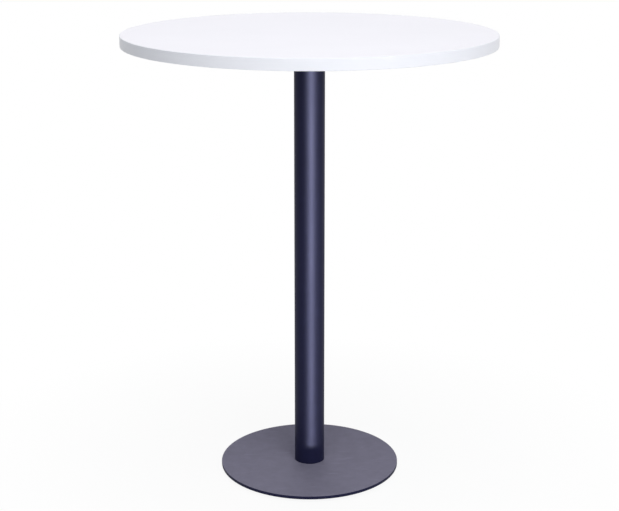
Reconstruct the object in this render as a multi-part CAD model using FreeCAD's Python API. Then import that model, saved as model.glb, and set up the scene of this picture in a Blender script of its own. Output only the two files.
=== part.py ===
"""Pub table: a round laminated top on one steel column that stands on a flat steel disc.

Sizes are in millimetres. The origin is the centre of the floor under the base. +Z points up and -Y to the front.

How it goes together, from the floor up:
- four levellers, each a nylon pad that swivels on a threaded spindle, screw up into blind holes in the base plate
- the base plate carries a tapped boss, let into its middle and welded from below
- the column tube slips over the boss and stands on the plate
- the spider closes the column's top: a hub plate with a spigot below and four folded channel arms above
- one tie rod screws into the boss, runs up inside the column and clamps the spider down with a nut
- the top is a board with laminate on both faces and a plastic band round its edge; flat-headed chipboard screws
  hold it down on the arms
"""

import FreeCAD
import Part

import math
import os

Vector = FreeCAD.Vector

# ---------------------------------------------------------------- overall
table_height = 1110.0  # floor to the upper face of the top, with the levellers screwed in

# ---------------------------------------------------------------- top
top_diameter = 900.0
core_thickness = 25.0
laminate_thickness = 0.8
edge_band_thickness = 2.0
edge_band_bevel = 1.0

# ---------------------------------------------------------------- column
column_diameter = 75.0
column_wall = 2.0
column_end_chamfer = 0.5

# ---------------------------------------------------------------- base plate
base_diameter = 450.0
base_thickness = 8.0
base_edge_bevel = 1.0

# ---------------------------------------------------------------- boss in the base plate
spigot_clearance = 0.3  # radial, between the column's bore and what it slips over
boss_height = 14.0
boss_lead_in = 2.0
boss_neck_wall = 7.0  # steel round the tapped hole, where the boss passes through the plate
boss_neck_clearance = 0.1  # radial, in the plate
boss_neck_recess = 1.0  # the neck ends this far above the plate's underside
weld_groove = 3.0  # leg of the bevel round the neck that the weld fills
weld_crown_recess = 0.4  # the weld stays this far inside the plate

# ---------------------------------------------------------------- levellers
leveller_count = 4
leveller_inset = 37.5  # from the plate's rim to each leveller's axis
leveller_seat_clearance = 0.3  # between the collar and the plate when screwed in
leveller_hole_floor = 2.0  # steel left above the blind hole
thread_clearance = 0.05  # radial, between any thread and its tapped hole
pad_diameter = 30.0
pad_height = 4.0
pad_sole = 1.4  # nylon left under the socket
pad_lip = 0.8  # nylon over the socket, which keeps the spindle in
swivel_clearance = 0.1  # all round the spindle's button in its pad
spindle_button_diameter = 8.6
spindle_neck_diameter = 6.4
spindle_collar_across_flats = 13.0
spindle_collar_thickness = 2.5
spindle_thread_diameter = 8.0
spindle_end_gap = 0.7  # between the spindle's end and the blind hole's floor when screwed in

# ---------------------------------------------------------------- tie rod and its fasteners
rod_thread_diameter = 12.0
rod_shank_diameter = 10.8
rod_thread_length = 60.0
rod_end_chamfer = 1.2
rod_stand_out = 2.3  # above the nut
rod_foot_recess = 1.5  # the rod ends this far above the boss's lower end
rod_hole_clearance = 0.5  # radial, in the hub and the washers
rod_headroom = 3.4  # between the rod's upper end and the top
rod_washer_diameter = 30.0
rod_washer_thickness = 3.0
spring_washer_diameter = 21.0
spring_washer_thickness = 2.5
spring_washer_gap = 2.0
spring_washer_slant = 20.0  # degrees from upright, at the cut
rod_nut_across_flats = 18.0
rod_nut_height = 10.8

# ---------------------------------------------------------------- spider
hub_diameter = 140.0
hub_thickness = 6.0
hub_edge_bevel = 0.8
hub_spigot_height = 15.0
hub_spigot_wall = 6.0
hub_spigot_lead_in = 1.5
arm_count = 4
arm_reach = 290.0  # centre to tip
arm_centre_clearance = 17.0  # from the rod's washer, or from the next arm's side, to each arm's inner end
arm_width = 30.0
arm_sheet = 2.5
arm_bend_radius = 1.5  # inside the fold
arm_depth_at_tip = 9.0
arm_taper_offset = 8.0  # from the hub's rim to the start of the taper
arm_tongue = 11.0  # flat end of the web beyond the flanges
arm_tip_rounding = 9.0
arm_flange_end_rounding = 5.0
arm_weld_leg = 3.0
arm_weld_margin = 4.0  # the welds stop this far inside the hub's rim and each arm's end

# ---------------------------------------------------------------- fixings between the arms and the top
inner_fixing_offset = 50.0  # from the hub's rim to each arm's inner screw
outer_fixing_inset = 35.0  # from each arm's tip to its outer screw
fixing_slot_travel = 4.0  # play along the arm in the outer hole
screw_diameter = 5.0
screw_length = 20.0  # under the head
screw_hole_clearance = 0.4  # radial, in the arm
screw_head_diameter = 11.0
screw_head_height = 3.0
screw_head_slope = 40.0  # degrees from flat, from the rim up to the head's flat face
pilot_hole_clearance = 1.0  # beyond the screw's end, in the board

# ---------------------------------------------------------------- levels that follow
plate_underside = pad_height + swivel_clearance + spindle_collar_thickness + leveller_seat_clearance
plate_top = plate_underside + base_thickness
boss_lower_end = plate_underside + boss_neck_recess
top_thickness = core_thickness + 2 * laminate_thickness
top_underside = table_height - top_thickness
core_underside = top_underside + laminate_thickness
core_top = core_underside + core_thickness
rod_stack = rod_washer_thickness + spring_washer_thickness + rod_nut_height + rod_stand_out
arm_depth_at_hub = rod_stack + rod_headroom
hub_top = top_underside - arm_depth_at_hub
hub_underside = hub_top - hub_thickness

# ---------------------------------------------------------------- radii that follow
core_radius = top_diameter / 2 - edge_band_thickness
column_bore_radius = column_diameter / 2 - column_wall
spigot_radius = column_bore_radius - spigot_clearance
rod_tapped_radius = rod_thread_diameter / 2 + thread_clearance
rod_hole_radius = rod_thread_diameter / 2 + rod_hole_clearance
boss_neck_radius = rod_thread_diameter / 2 + boss_neck_wall
boss_neck_hole_radius = boss_neck_radius + boss_neck_clearance
leveller_radius = base_diameter / 2 - leveller_inset
arm_inner_radius = max(arm_width, rod_washer_diameter) / 2 + arm_centre_clearance
screw_hole_radius = screw_diameter / 2 + screw_hole_clearance
fixing_radii = (hub_diameter / 2 + inner_fixing_offset, arm_reach - outer_fixing_inset)


# ---------------------------------------------------------------- shape helpers
def corner_arc(before, here, after):
    """Start, middle and end of the arc that rounds a corner (u, v, radius) and meets both its sides smoothly."""
    back_length = math.dist(before[:2], here[:2])
    on_length = math.dist(after[:2], here[:2])
    back = ((before[0] - here[0]) / back_length, (before[1] - here[1]) / back_length)
    on = ((after[0] - here[0]) / on_length, (after[1] - here[1]) / on_length)
    half_angle = math.acos(back[0] * on[0] + back[1] * on[1]) / 2
    run = here[2] / math.tan(half_angle)
    depth = here[2] / math.sin(half_angle) - here[2]
    inward_length = math.hypot(back[0] + on[0], back[1] + on[1])
    inward = ((back[0] + on[0]) / inward_length, (back[1] + on[1]) / inward_length)
    start = (here[0] + back[0] * run, here[1] + back[1] * run)
    middle = (here[0] + inward[0] * depth, here[1] + inward[1] * depth)
    end = (here[0] + on[0] * run, here[1] + on[1] * run)
    return start, middle, end


def flat_face(corners, place):
    """Face inside a closed outline of corners (u, v) or (u, v, radius); place turns u and v into a point."""
    turns = []
    for index, here in enumerate(corners):
        if len(here) == 3:
            after = corners[(index + 1) % len(corners)]
            turns.append(corner_arc(corners[index - 1], here, after))
        else:
            turns.append((here, None, here))
    edges = []
    for index, (start, middle, end) in enumerate(turns):
        if middle is not None:
            edges.append(Part.Arc(place(*start), place(*middle), place(*end)).toShape())
        next_start = turns[(index + 1) % len(turns)][0]
        if math.dist(end, next_start) > 1e-6:
            edges.append(Part.makeLine(place(*end), place(*next_start)))
    return Part.Face(Part.Wire(edges))


def turned(profile):
    """Solid turned about Z from a half section of corners (radius, z) or (radius, z, rounding)."""
    half_section = flat_face(profile, lambda radius, z: Vector(radius, 0, z))
    return half_section.revolve(Vector(0, 0, 0), Vector(0, 0, 1), 360)


def ring(inner_radius, outer_radius, bottom, height):
    """Plain washer shape about Z."""
    top = bottom + height
    return turned([(inner_radius, bottom), (outer_radius, bottom), (outer_radius, top), (inner_radius, top)])


def rod(radius, bottom, height):
    """Plain cylinder about Z."""
    return Part.makeCylinder(radius, height, Vector(0, 0, bottom))


def hexagon(across_flats, bottom, height):
    """Hexagonal prism about Z."""
    corner_radius = across_flats / 2 / math.cos(math.radians(30))
    corners = []
    for step in range(6):
        angle = math.radians(60 * step)
        corners.append((corner_radius * math.cos(angle), corner_radius * math.sin(angle)))
    return flat_face(corners, lambda x, y: Vector(x, y, bottom)).extrude(Vector(0, 0, height))


def moved(shape, x, y, z=0.0):
    """Copy of a shape shifted by x, y and z."""
    copy = shape.copy()
    copy.translate(Vector(x, y, z))
    return copy


def spun(shape, degrees):
    """Copy of a shape turned about the column's axis."""
    copy = shape.copy()
    copy.rotate(Vector(0, 0, 0), Vector(0, 0, 1), degrees)
    return copy


def around(shape, count):
    """Copies of a shape spread evenly about the column's axis, the first where the shape is."""
    return [spun(shape, 360 / count * index) for index in range(count)]


def at_fixings(shape):
    """Copies of a shape that is drawn on the Z axis, one at each screw between the arms and the top."""
    copies = []
    for radius in fixing_radii:
        copies += around(moved(shape, radius, 0), arm_count)
    return copies


# ---------------------------------------------------------------- base
def base_plate():
    """Flat disc with bevelled edges, a bevelled hole for the boss and blind tapped holes for the levellers."""
    rim = base_diameter / 2
    bevel = min(base_edge_bevel, 0.4 * base_thickness)
    disc = turned([
        (boss_neck_hole_radius + weld_groove, plate_underside),
        (rim - bevel, plate_underside),
        (rim, plate_underside + bevel),
        (rim, plate_top - bevel),
        (rim - bevel, plate_top),
        (boss_neck_hole_radius, plate_top),
        (boss_neck_hole_radius, plate_underside + weld_groove),
    ])
    hole_depth = base_thickness - leveller_hole_floor
    hole = rod(spindle_thread_diameter / 2 + thread_clearance, plate_underside, hole_depth)
    return disc.cut(around(moved(hole, leveller_radius, 0), leveller_count))


def locating_boss():
    """Turned boss that centres the column; its neck passes through the plate and the rod screws into it."""
    top = plate_top + boss_height
    return turned([
        (rod_tapped_radius, boss_lower_end),
        (boss_neck_radius, boss_lower_end),
        (boss_neck_radius, plate_top),
        (spigot_radius, plate_top),
        (spigot_radius, top - boss_lead_in),
        (spigot_radius - boss_lead_in, top),
        (rod_tapped_radius, top),
    ])


def boss_weld():
    """Weld that fills the bevel between the boss's neck and the plate, from below."""
    crown = plate_underside + weld_crown_recess
    groove_top = plate_underside + weld_groove
    return turned([
        (boss_neck_radius, crown),
        (boss_neck_radius + weld_groove - weld_crown_recess, crown),
        (boss_neck_radius, groove_top),
    ])


# ---------------------------------------------------------------- levellers
def leveller_pad():
    """Nylon pad with a lipped socket for the spindle's button, drawn on the Z axis."""
    rim = pad_diameter / 2
    socket_radius = spindle_button_diameter / 2 + swivel_clearance
    throat_radius = spindle_neck_diameter / 2 + swivel_clearance
    return turned([
        (0, 0),
        (rim, 0),
        (rim, pad_height),
        (throat_radius, pad_height),
        (throat_radius, pad_height - pad_lip),
        (socket_radius, pad_height - pad_lip),
        (socket_radius, pad_sole),
        (0, pad_sole),
    ])


def leveller_spindle():
    """Threaded spindle with a button that swivels in the pad and a collar for a spanner, drawn on the Z axis."""
    button_bottom = pad_sole + swivel_clearance
    button_top = pad_height - pad_lip - swivel_clearance
    collar_bottom = pad_height + swivel_clearance
    end = plate_top - leveller_hole_floor - spindle_end_gap
    button_radius = spindle_button_diameter / 2
    neck_radius = spindle_neck_diameter / 2
    thread_radius = spindle_thread_diameter / 2
    shaft = turned([
        (0, button_bottom),
        (button_radius, button_bottom),
        (button_radius, button_top),
        (neck_radius, button_top),
        (neck_radius, collar_bottom),
        (thread_radius, collar_bottom),
        (thread_radius, end),
        (0, end),
    ])
    collar = hexagon(spindle_collar_across_flats, collar_bottom, spindle_collar_thickness)
    return shaft.fuse(collar).removeSplitter()


# ---------------------------------------------------------------- column and tie rod
def column_tube():
    """Round tube that stands on the plate and carries the hub."""
    outside = column_diameter / 2
    chamfer = min(column_end_chamfer, 0.5 * column_wall)
    return turned([
        (column_bore_radius, plate_top),
        (outside - chamfer, plate_top),
        (outside, plate_top + chamfer),
        (outside, hub_underside - chamfer),
        (outside - chamfer, hub_underside),
        (column_bore_radius, hub_underside),
    ])


def tie_rod():
    """Rod with a thread at each end, from inside the boss to above the nut."""
    foot = boss_lower_end + rod_foot_recess
    head = hub_top + rod_stack
    thread = rod_thread_diameter / 2
    shank = rod_shank_diameter / 2
    runout = thread - shank
    return turned([
        (0, foot),
        (thread - rod_end_chamfer, foot),
        (thread, foot + rod_end_chamfer),
        (thread, foot + rod_thread_length),
        (shank, foot + rod_thread_length + runout),
        (shank, head - rod_thread_length - runout),
        (thread, head - rod_thread_length),
        (thread, head - rod_end_chamfer),
        (thread - rod_end_chamfer, head),
        (0, head),
    ])


def tie_rod_washer():
    """Wide flat washer on the hub."""
    return ring(rod_hole_radius, rod_washer_diameter / 2, hub_top, rod_washer_thickness)


def spring_washer():
    """Split washer, drawn flat as it is under the tight nut, with a slanted cut through one side."""
    bottom = hub_top + rod_washer_thickness
    outside = spring_washer_diameter / 2
    whole = ring(rod_hole_radius, outside, bottom, spring_washer_thickness)
    reach = 2 * spring_washer_thickness
    cutter = Part.makeBox(outside, spring_washer_gap, 2 * reach, Vector(0, -spring_washer_gap / 2, -reach))
    cutter.rotate(Vector(0, 0, 0), Vector(1, 0, 0), spring_washer_slant)
    cutter.translate(Vector(0, 0, bottom + spring_washer_thickness / 2))
    return whole.cut(cutter)


def tie_rod_nut():
    """Hexagon nut that clamps the spider, column and base together."""
    bottom = hub_top + rod_washer_thickness + spring_washer_thickness
    blank = hexagon(rod_nut_across_flats, bottom, rod_nut_height)
    return blank.cut(rod(rod_tapped_radius, bottom, rod_nut_height))


# ---------------------------------------------------------------- spider
def spider_hub():
    """Round plate that lies on the column's upper end and carries the arms."""
    rim = hub_diameter / 2
    bevel = min(hub_edge_bevel, 0.4 * hub_thickness)
    return turned([
        (rod_hole_radius, hub_underside),
        (rim - bevel, hub_underside),
        (rim, hub_underside + bevel),
        (rim, hub_top),
        (rod_hole_radius, hub_top),
    ])


def spider_spigot():
    """Short sleeve under the hub that centres it in the column's bore."""
    bottom = hub_underside - hub_spigot_height
    lead_in = min(hub_spigot_lead_in, 0.5 * hub_spigot_wall)
    return turned([
        (spigot_radius - hub_spigot_wall, bottom),
        (spigot_radius - lead_in, bottom),
        (spigot_radius, bottom + lead_in),
        (spigot_radius, hub_underside),
        (spigot_radius - hub_spigot_wall, hub_underside),
    ])


def folded_channel():
    """Sheet folded into a channel along +X, its web flat under the top and its flanges down, before it is trimmed."""
    side = arm_width / 2
    inside = side - arm_sheet
    outer_bend = arm_bend_radius + arm_sheet
    web_underside = top_underside - arm_sheet
    section = flat_face(
        [
            (-side, hub_top),
            (-side, top_underside, outer_bend),
            (side, top_underside, outer_bend),
            (side, hub_top),
            (inside, hub_top),
            (inside, web_underside, arm_bend_radius),
            (-inside, web_underside, arm_bend_radius),
            (-inside, hub_top),
        ],
        lambda y, z: Vector(arm_inner_radius, y, z),
    )
    return section.extrude(Vector(arm_reach - arm_inner_radius, 0, 0))


def arm_side_view():
    """Block with the arm's outline from the side: flanges that taper to the tip and end in a round before it."""
    flange_end = arm_reach - arm_tongue
    rounding = min(arm_flange_end_rounding, 0.9 * (arm_depth_at_tip - arm_sheet))
    outline = flat_face(
        [
            (arm_inner_radius, top_underside),
            (arm_reach, top_underside),
            (arm_reach, top_underside - arm_sheet),
            (flange_end, top_underside - arm_sheet),
            (flange_end, top_underside - arm_depth_at_tip, rounding),
            (hub_diameter / 2 + arm_taper_offset, hub_top),
            (arm_inner_radius, hub_top),
        ],
        lambda x, z: Vector(x, -arm_width / 2, z),
    )
    return outline.extrude(Vector(0, arm_width, 0))


def arm_plan_view():
    """Block with the arm's outline from above: straight sides and a rounded tip."""
    side = arm_width / 2
    rounding = min(arm_tip_rounding, 0.9 * side)
    outline = flat_face(
        [
            (arm_inner_radius, -side),
            (arm_reach, -side, rounding),
            (arm_reach, side, rounding),
            (arm_inner_radius, side),
        ],
        lambda x, y: Vector(x, y, hub_top),
    )
    return outline.extrude(Vector(0, 0, arm_depth_at_hub))


def fixing_slot(centre):
    """Block through the web for one screw, longer along the arm, so that the top can shrink and swell."""
    half_width = screw_hole_radius
    half_length = half_width + fixing_slot_travel / 2
    outline = flat_face(
        [
            (centre - half_length, -half_width, half_width),
            (centre + half_length, -half_width, half_width),
            (centre + half_length, half_width, half_width),
            (centre - half_length, half_width, half_width),
        ],
        lambda x, y: Vector(x, y, top_underside - arm_sheet),
    )
    return outline.extrude(Vector(0, 0, arm_sheet))


def spider_arm():
    """Arm along +X: a folded channel trimmed to its side and plan views, with a round and a slotted screw hole."""
    arm = folded_channel().common(arm_side_view()).common(arm_plan_view())
    inner_hole = moved(rod(screw_hole_radius, top_underside - arm_sheet, arm_sheet), fixing_radii[0], 0)
    return arm.cut([inner_hole, fixing_slot(fixing_radii[1])])


def spider_welds():
    """Fillet welds along both sides of every arm, where its flanges stand on the hub."""
    side = arm_width / 2
    start = arm_inner_radius + arm_weld_margin
    # the weld's outer edge meets the round rim nearer the centre than its inner edge does
    end = math.sqrt((hub_diameter / 2 - arm_weld_margin) ** 2 - (side + arm_weld_leg) ** 2)
    section = flat_face(
        [(side, hub_top), (side + arm_weld_leg, hub_top), (side, hub_top + arm_weld_leg)],
        lambda y, z: Vector(start, y, z),
    )
    bead = section.extrude(Vector(end - start, 0, 0))
    mirrored_bead = bead.mirror(Vector(0, 0, 0), Vector(0, 1, 0))
    return around(bead, arm_count) + around(mirrored_bead, arm_count)


# ---------------------------------------------------------------- top
def disc_with_screw_holes(bottom, height):
    """Disc as wide as the board, with a hole for every screw that it has to let in."""
    depth = screw_length - arm_sheet + pilot_hole_clearance
    screw_hole = rod(screw_diameter / 2 + thread_clearance, top_underside, depth)
    return rod(core_radius, bottom, height).cut(at_fixings(screw_hole))


def top_board():
    """Particle board core of the top."""
    return disc_with_screw_holes(core_underside, core_thickness)


def backing_laminate():
    """Laminate on the board's lower face."""
    return disc_with_screw_holes(top_underside, laminate_thickness)


def top_laminate():
    """Laminate on the board's upper face."""
    return rod(core_radius, core_top, laminate_thickness)


def edge_band():
    """Plastic band round the board and both laminates, trimmed to a bevel at both corners."""
    outside = top_diameter / 2
    bevel = min(edge_band_bevel, 0.75 * edge_band_thickness)
    return turned([
        (core_radius, top_underside),
        (outside - bevel, top_underside),
        (outside, top_underside + bevel),
        (outside, table_height - bevel),
        (outside - bevel, table_height),
        (core_radius, table_height),
    ])


def fixing_screw():
    """Chipboard screw that points up through an arm's web into the board, drawn on the Z axis."""
    seat = top_underside - arm_sheet
    face = seat - screw_head_height
    end = seat + screw_length
    head = screw_head_diameter / 2
    face_radius = head - screw_head_height / math.tan(math.radians(screw_head_slope))
    thread = screw_diameter / 2
    return turned([
        (0, face),
        (face_radius, face),
        (head, seat),
        (thread, seat),
        (thread, end),
        (0, end),
    ])


# ---------------------------------------------------------------- every node and its solids
def nodes():
    """Name of every node with the solids in it."""
    table = {
        "base_plate": [base_plate()],
        "locating_boss": [locating_boss()],
        "column_tube": [column_tube()],
        "tie_rod": [tie_rod()],
        "tie_rod_washer": [tie_rod_washer()],
        "spring_washer": [spring_washer()],
        "tie_rod_nut": [tie_rod_nut()],
        "spider_hub": [spider_hub()],
        "spider_spigot": [spider_spigot()],
        "weld_beads": spider_welds() + [boss_weld()],
        "top_board": [top_board()],
        "top_laminate": [top_laminate()],
        "backing_laminate": [backing_laminate()],
        "edge_band": [edge_band()],
        "fixing_screws": at_fixings(fixing_screw()),
    }
    for number, arm in enumerate(around(spider_arm(), arm_count), start=1):
        table[f"spider_arm_{number}"] = [arm]
    for number, pad in enumerate(around(moved(leveller_pad(), leveller_radius, 0), leveller_count), start=1):
        table[f"leveller_pad_{number}"] = [pad]
    spindles = around(moved(leveller_spindle(), leveller_radius, 0), leveller_count)
    for number, spindle in enumerate(spindles, start=1):
        table[f"leveller_spindle_{number}"] = [spindle]
    return table


def build():
    """Write every node to its own STEP file."""
    os.makedirs("parts", exist_ok=True)
    for name, solids in nodes().items():
        shape = solids[0] if len(solids) == 1 else Part.makeCompound(solids)
        shape.exportStep(f"parts/{name}.step")


build()
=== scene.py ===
"""Pub table: the shapes and finishes of its pieces, and the stage that they stand on.

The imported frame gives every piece's place and size. Where the real piece has a rounded edge, a thread, a
weld's ripples or a screw's cross recess, a surface worked out with numpy stands for the frame's plain one.
Every piece gets a procedural finish. Lengths are in metres, +Z points up, -Y to the front, and the origin
is on the floor under the base.
"""

import math

import bmesh
import bpy
import numpy as np
from bpy.props import FloatProperty, FloatVectorProperty, PointerProperty
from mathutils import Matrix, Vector


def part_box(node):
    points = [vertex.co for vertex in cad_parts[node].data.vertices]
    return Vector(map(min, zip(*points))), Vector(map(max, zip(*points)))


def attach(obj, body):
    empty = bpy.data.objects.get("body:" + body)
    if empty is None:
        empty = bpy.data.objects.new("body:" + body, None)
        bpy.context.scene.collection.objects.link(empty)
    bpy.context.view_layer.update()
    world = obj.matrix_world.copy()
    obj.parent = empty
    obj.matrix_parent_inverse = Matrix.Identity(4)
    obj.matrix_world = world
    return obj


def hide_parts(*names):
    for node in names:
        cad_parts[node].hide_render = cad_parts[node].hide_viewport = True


bl_info = {
    "name": "Pub Table",
    "version": (1, 0, 0),
    "blender": (4, 5, 0),
    "location": "View3D > Sidebar > Pub Table",
    "description": "Dresses a round pub table on a steel column and disc base",
    "category": "Add Mesh",
}

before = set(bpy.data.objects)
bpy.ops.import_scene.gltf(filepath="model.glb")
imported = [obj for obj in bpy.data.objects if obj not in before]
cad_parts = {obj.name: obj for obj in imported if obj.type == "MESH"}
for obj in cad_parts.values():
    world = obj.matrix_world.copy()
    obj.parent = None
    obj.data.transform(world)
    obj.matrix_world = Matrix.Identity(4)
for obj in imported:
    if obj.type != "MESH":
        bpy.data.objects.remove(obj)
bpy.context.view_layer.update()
TAU = 2 * math.pi
MERGE_DISTANCE = 1e-6
CREASE_ANGLE = math.radians(30)
THREAD_DEPTH_IN_PITCHES = 0.61


# ---------------------------------------------------------------- what the frame says
def outer_radius(node):
    """Radius of a turned node about the column's axis."""
    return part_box(node)[1].x


def node_points(node):
    """Every vertex of a node as an array (count, 3)."""
    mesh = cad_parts[node].data
    points = np.empty(len(mesh.vertices) * 3)
    mesh.vertices.foreach_get("co", points)
    return points.reshape(-1, 3)


def half_width(node):
    """Half the size of a node along X."""
    low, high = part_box(node)
    return (high.x - low.x) / 2


def bore_radius(node):
    """Smallest radius that a node reaches about the column's axis."""
    return float(np.hypot(*node_points(node)[:, :2].T).min())


def level(node):
    """Lowest and highest height of a node."""
    low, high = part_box(node)
    return low.z, high.z


def node_names(stem):
    """Names of the frame's numbered nodes that begin with a stem, in order."""
    return sorted(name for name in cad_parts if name.startswith(stem))


# ---------------------------------------------------------------- settings
def length_setting(label, description, default):
    """Length in metres."""
    return FloatProperty(
        name=label, description=description, default=default, unit="LENGTH", subtype="DISTANCE", precision=5
    )


def colour_setting(label, description, default):
    """Colour in linear light."""
    return FloatVectorProperty(
        name=label, description=description, default=default, subtype="COLOR", size=3, min=0.0, max=1.0
    )


def angle_setting(label, description, degrees):
    """Angle, given here in degrees and kept in radians."""
    return FloatProperty(
        name=label, description=description, default=math.radians(degrees), subtype="ANGLE"
    )


def factor_setting(label, description, default):
    """Plain number. A lamp's power is in watts."""
    return FloatProperty(name=label, description=description, default=default, min=0.0, precision=3)


class TopSettings(bpy.types.PropertyGroup):
    """Sizes and colours of the round top."""

    arris_radius: length_setting("Arris radius", "Rounding of the edge band's two outer corners", 0.0010)
    joint_radius: length_setting("Joint radius", "Rounding where the laminate meets the edge band", 0.00015)
    joint_half_width: length_setting("Joint half width", "Half the line where the band ends meet", 0.00012)
    laminate_colour: colour_setting("Laminate colour", "Upper laminate", (0.87, 0.855, 0.91))
    band_colour: colour_setting("Band colour", "Plastic edge band", (0.84, 0.85, 0.90))
    backing_colour: colour_setting("Backing colour", "Laminate under the top", (0.70, 0.69, 0.68))
    board_colour: colour_setting("Board colour", "Particle board core", (0.42, 0.30, 0.18))


class CoatSettings(bpy.types.PropertyGroup):
    """The powder coat on the steel."""

    colour: colour_setting("Colour", "Powder coat", (0.0118, 0.0123, 0.0375))
    roughness: factor_setting("Roughness", "Mean roughness of the powder coat", 0.50)
    peel_depth: length_setting("Peel depth", "Height of the coat's orange peel", 0.000050)
    # Painted sheen: a pale colour on the base's upper face that stands in for its grazing reflection; the
    # scuffs on it are wear.
    painted_sheen_colour: colour_setting("Haze colour", "Dust and scuffs on the base's face", (0.178, 0.170, 0.227))


class ColumnSettings(bpy.types.PropertyGroup):
    """Sizes of the column tube."""

    end_rounding: length_setting("End rounding", "Rounding of the tube's outer ends", 0.0005)


class BaseSettings(bpy.types.PropertyGroup):
    """Sizes of the base disc."""

    edge_rounding: length_setting("Edge rounding", "Rounding of the disc's rim", 0.0010)
    groove_leg: length_setting("Groove leg", "Leg of the weld groove round the boss", 0.0030)
    hole_radius: length_setting("Hole radius", "Radius of the levellers' blind holes", 0.00405)
    hole_depth: length_setting("Hole depth", "Depth of the levellers' blind holes", 0.0060)


class LevellerSettings(bpy.types.PropertyGroup):
    """Sizes of the four levellers."""

    pad_rim_rounding: length_setting("Pad rim", "Rounding of each pad's upper rim", 0.0012)
    pad_sole_rounding: length_setting("Pad sole", "Rounding of each pad's lower rim", 0.0004)
    throat_radius: length_setting("Throat radius", "Opening of the pad's socket", 0.0033)
    socket_radius: length_setting("Socket radius", "Socket inside the pad", 0.0044)
    lip: length_setting("Lip", "Nylon over the socket", 0.0008)
    sole: length_setting("Sole", "Nylon under the socket", 0.0014)
    play: length_setting("Play", "Clearance between the spindle and its pad", 0.0001)
    neck_radius: length_setting("Neck radius", "Spindle's neck in the pad's throat", 0.0032)
    collar_width: length_setting("Collar width", "Collar across its flats", 0.013)
    collar_thickness: length_setting("Collar thickness", "Height of the collar", 0.0025)
    thread_radius: length_setting("Thread radius", "Outside of the spindle's thread", 0.0040)
    thread_pitch: length_setting("Thread pitch", "Rise of the thread in one turn", 0.00125)


class SpiderSettings(bpy.types.PropertyGroup):
    """Sizes of the spider's hub and welds."""

    hub_rounding: length_setting("Hub rounding", "Rounding of the hub's lower rim", 0.0008)
    hub_top_rounding: length_setting("Hub top rounding", "Rounding of the hub's upper rim", 0.0003)
    weld_leg: length_setting("Weld leg", "Leg of the fillet welds", 0.0030)
    weld_ripple: length_setting("Weld ripple", "Distance between two ripples of a weld", 0.0014)
    weld_start: length_setting("Weld start", "Radius at which the arms' welds begin", 0.036)
    boss_clearance: length_setting("Boss clearance", "Between the boss's neck and the base's hole", 0.0001)


class FixingSettings(bpy.types.PropertyGroup):
    """Sizes of the screws and of the tie rod's fasteners."""

    screw_radius: length_setting("Screw radius", "Outside of the chipboard screws' thread", 0.0025)
    screw_pitch: length_setting("Screw pitch", "Rise of the screw's thread in one turn", 0.0022)
    screw_head_height: length_setting("Head height", "Height of the screw's head", 0.0030)
    recess_width: length_setting("Recess width", "Width of each arm of the cross recess", 0.0013)
    recess_reach: length_setting("Recess reach", "Centre to end of each arm of the recess", 0.0026)
    recess_depth: length_setting("Recess depth", "Depth of the cross recess", 0.0018)
    rod_radius: length_setting("Rod radius", "Outside of the tie rod's thread", 0.0060)
    rod_shank_radius: length_setting("Rod shank", "Plain part of the tie rod", 0.0054)
    rod_thread_length: length_setting("Rod thread", "Threaded length at each end of the rod", 0.060)
    rod_pitch: length_setting("Rod pitch", "Rise of the rod's thread in one turn", 0.00175)
    rod_chamfer: length_setting("Rod chamfer", "Chamfer at each end of the rod", 0.0012)
    nut_width: length_setting("Nut width", "Nut across its flats", 0.018)
    washer_edge: length_setting("Washer edge", "Wide washer's rounding, doubled at its upper rim", 0.0003)


class StageSettings(bpy.types.PropertyGroup):
    """Camera, lamps, floor and background."""

    camera_distance: length_setting("Camera distance", "Column to camera, along the floor", 3.3357)
    camera_height: length_setting("Camera height", "Floor to the camera", 1.5119)
    camera_pitch: angle_setting("Camera pitch", "Downward tilt of the camera", 14.112)
    lens: FloatProperty(name="Lens", description="Focal length", default=81.289, unit="CAMERA")
    sensor: FloatProperty(name="Sensor", description="Width of the sensor", default=36.0, unit="CAMERA")
    shift_down: factor_setting("Shift down", "Lens shift that frames the table, in widths", 0.0735)
    key_power: factor_setting("Key power", "Softbox to the right of the camera, in watts", 62.0)
    gloss_power: factor_setting("Gloss power", "Strip in front of the column, in watts", 1.32)
    rear_gloss_power: factor_setting("Rear gloss power", "Strip behind the column, in watts", 0.75)
    top_power: factor_setting("Top power", "Softbox above and in front of the table, in watts", 440.0)
    back_power: factor_setting("Back power", "Softbox above and behind the table, in watts", 112.0)
    fill_level: factor_setting("Fill level", "Light from all round", 0.20)
    floor_radius: length_setting("Floor radius", "Size of the floor", 30.0)


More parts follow.
